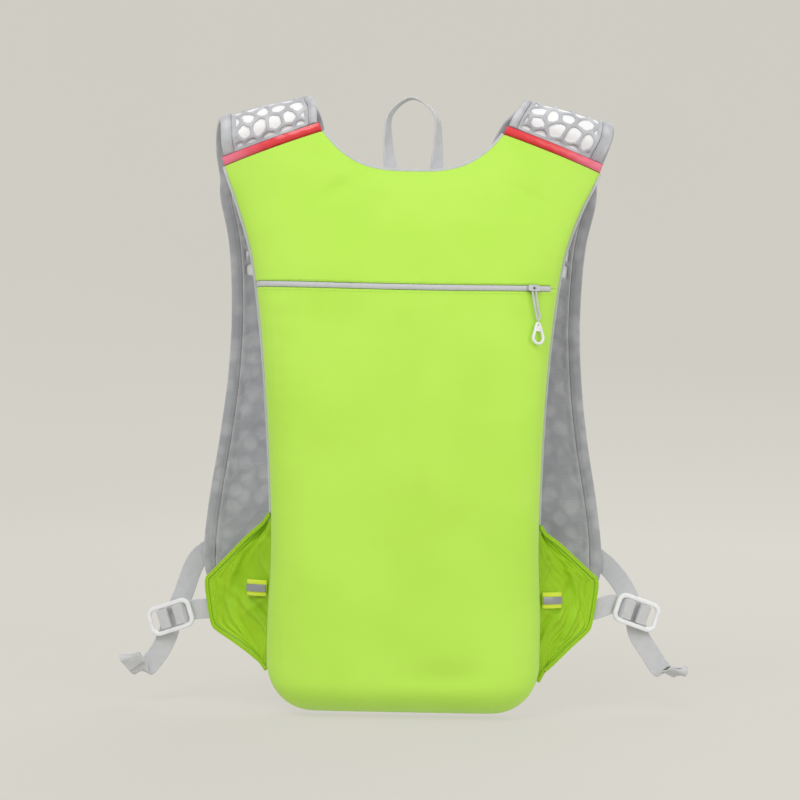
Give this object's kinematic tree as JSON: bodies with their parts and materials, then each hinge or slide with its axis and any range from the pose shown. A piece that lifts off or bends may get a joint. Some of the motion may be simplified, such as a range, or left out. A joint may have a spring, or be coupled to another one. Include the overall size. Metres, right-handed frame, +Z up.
{
  "type": "running vest backpack",
  "caption": "Vest-style running backpack with a flat zipped bag, pierced shoulder straps, waist wings and ladder-lock side straps, in worn form.",
  "frame": {"origin": "middle between the seats of the two straps on the wearer's shoulders, under the straps' crests", "axes": "+Z up, +Y from the bag towards the wearer's chest, +X to the wearer's right"},
  "size_m": [0.4263, 0.1388, 0.4604],
  "materials": {
    "lime_nylon": "matt woven nylon",
    "wing_nylon": "creased woven nylon",
    "grey_mesh": "spacer mesh",
    "grey_tape": "woven edge tape",
    "red_trim": "satin ribbon",
    "webbing": "woven webbing",
    "pale_plastic": "smooth moulded",
    "slider_metal": "satin",
    "reflective": "reflective film",
    "fluo_tape": "woven tape"
  },
  "bodies": {
    "root": {"pack_cover": "lime_nylon", "yoke_cover": "lime_nylon", "back_pad": "grey_mesh", "neck_binding": "grey_tape", "zip_band": "grey_tape", "zip_slider": "slider_metal", "zip_pull_cord": "grey_tape", "zip_pull_tab": "pale_plastic", "grab_loop": "webbing", "left_armhole_binding": "grey_tape", "left_yoke_trim": "red_trim", "left_strap_pad": "grey_mesh", "left_strap_outer_hem": "grey_tape", "left_strap_inner_hem": "grey_tape", "left_wing": "wing_nylon", "left_wing_hem": "wing_nylon", "left_tab_tape": "fluo_tape", "left_tab_stripe": "reflective", "left_buckle": "pale_plastic", "left_wing_webbing": "webbing", "left_adjuster_turn": "webbing", "left_adjuster": "webbing", "right_armhole_binding": "grey_tape", "right_yoke_trim": "red_trim", "right_strap_pad": "grey_mesh", "right_strap_outer_hem": "grey_tape", "right_strap_inner_hem": "grey_tape", "right_wing": "wing_nylon", "right_wing_hem": "wing_nylon", "right_tab_tape": "fluo_tape", "right_tab_stripe": "reflective", "right_buckle": "pale_plastic", "right_wing_webbing": "webbing", "right_adjuster_turn": "webbing", "right_adjuster": "webbing"}
  },
  "joints": []
}
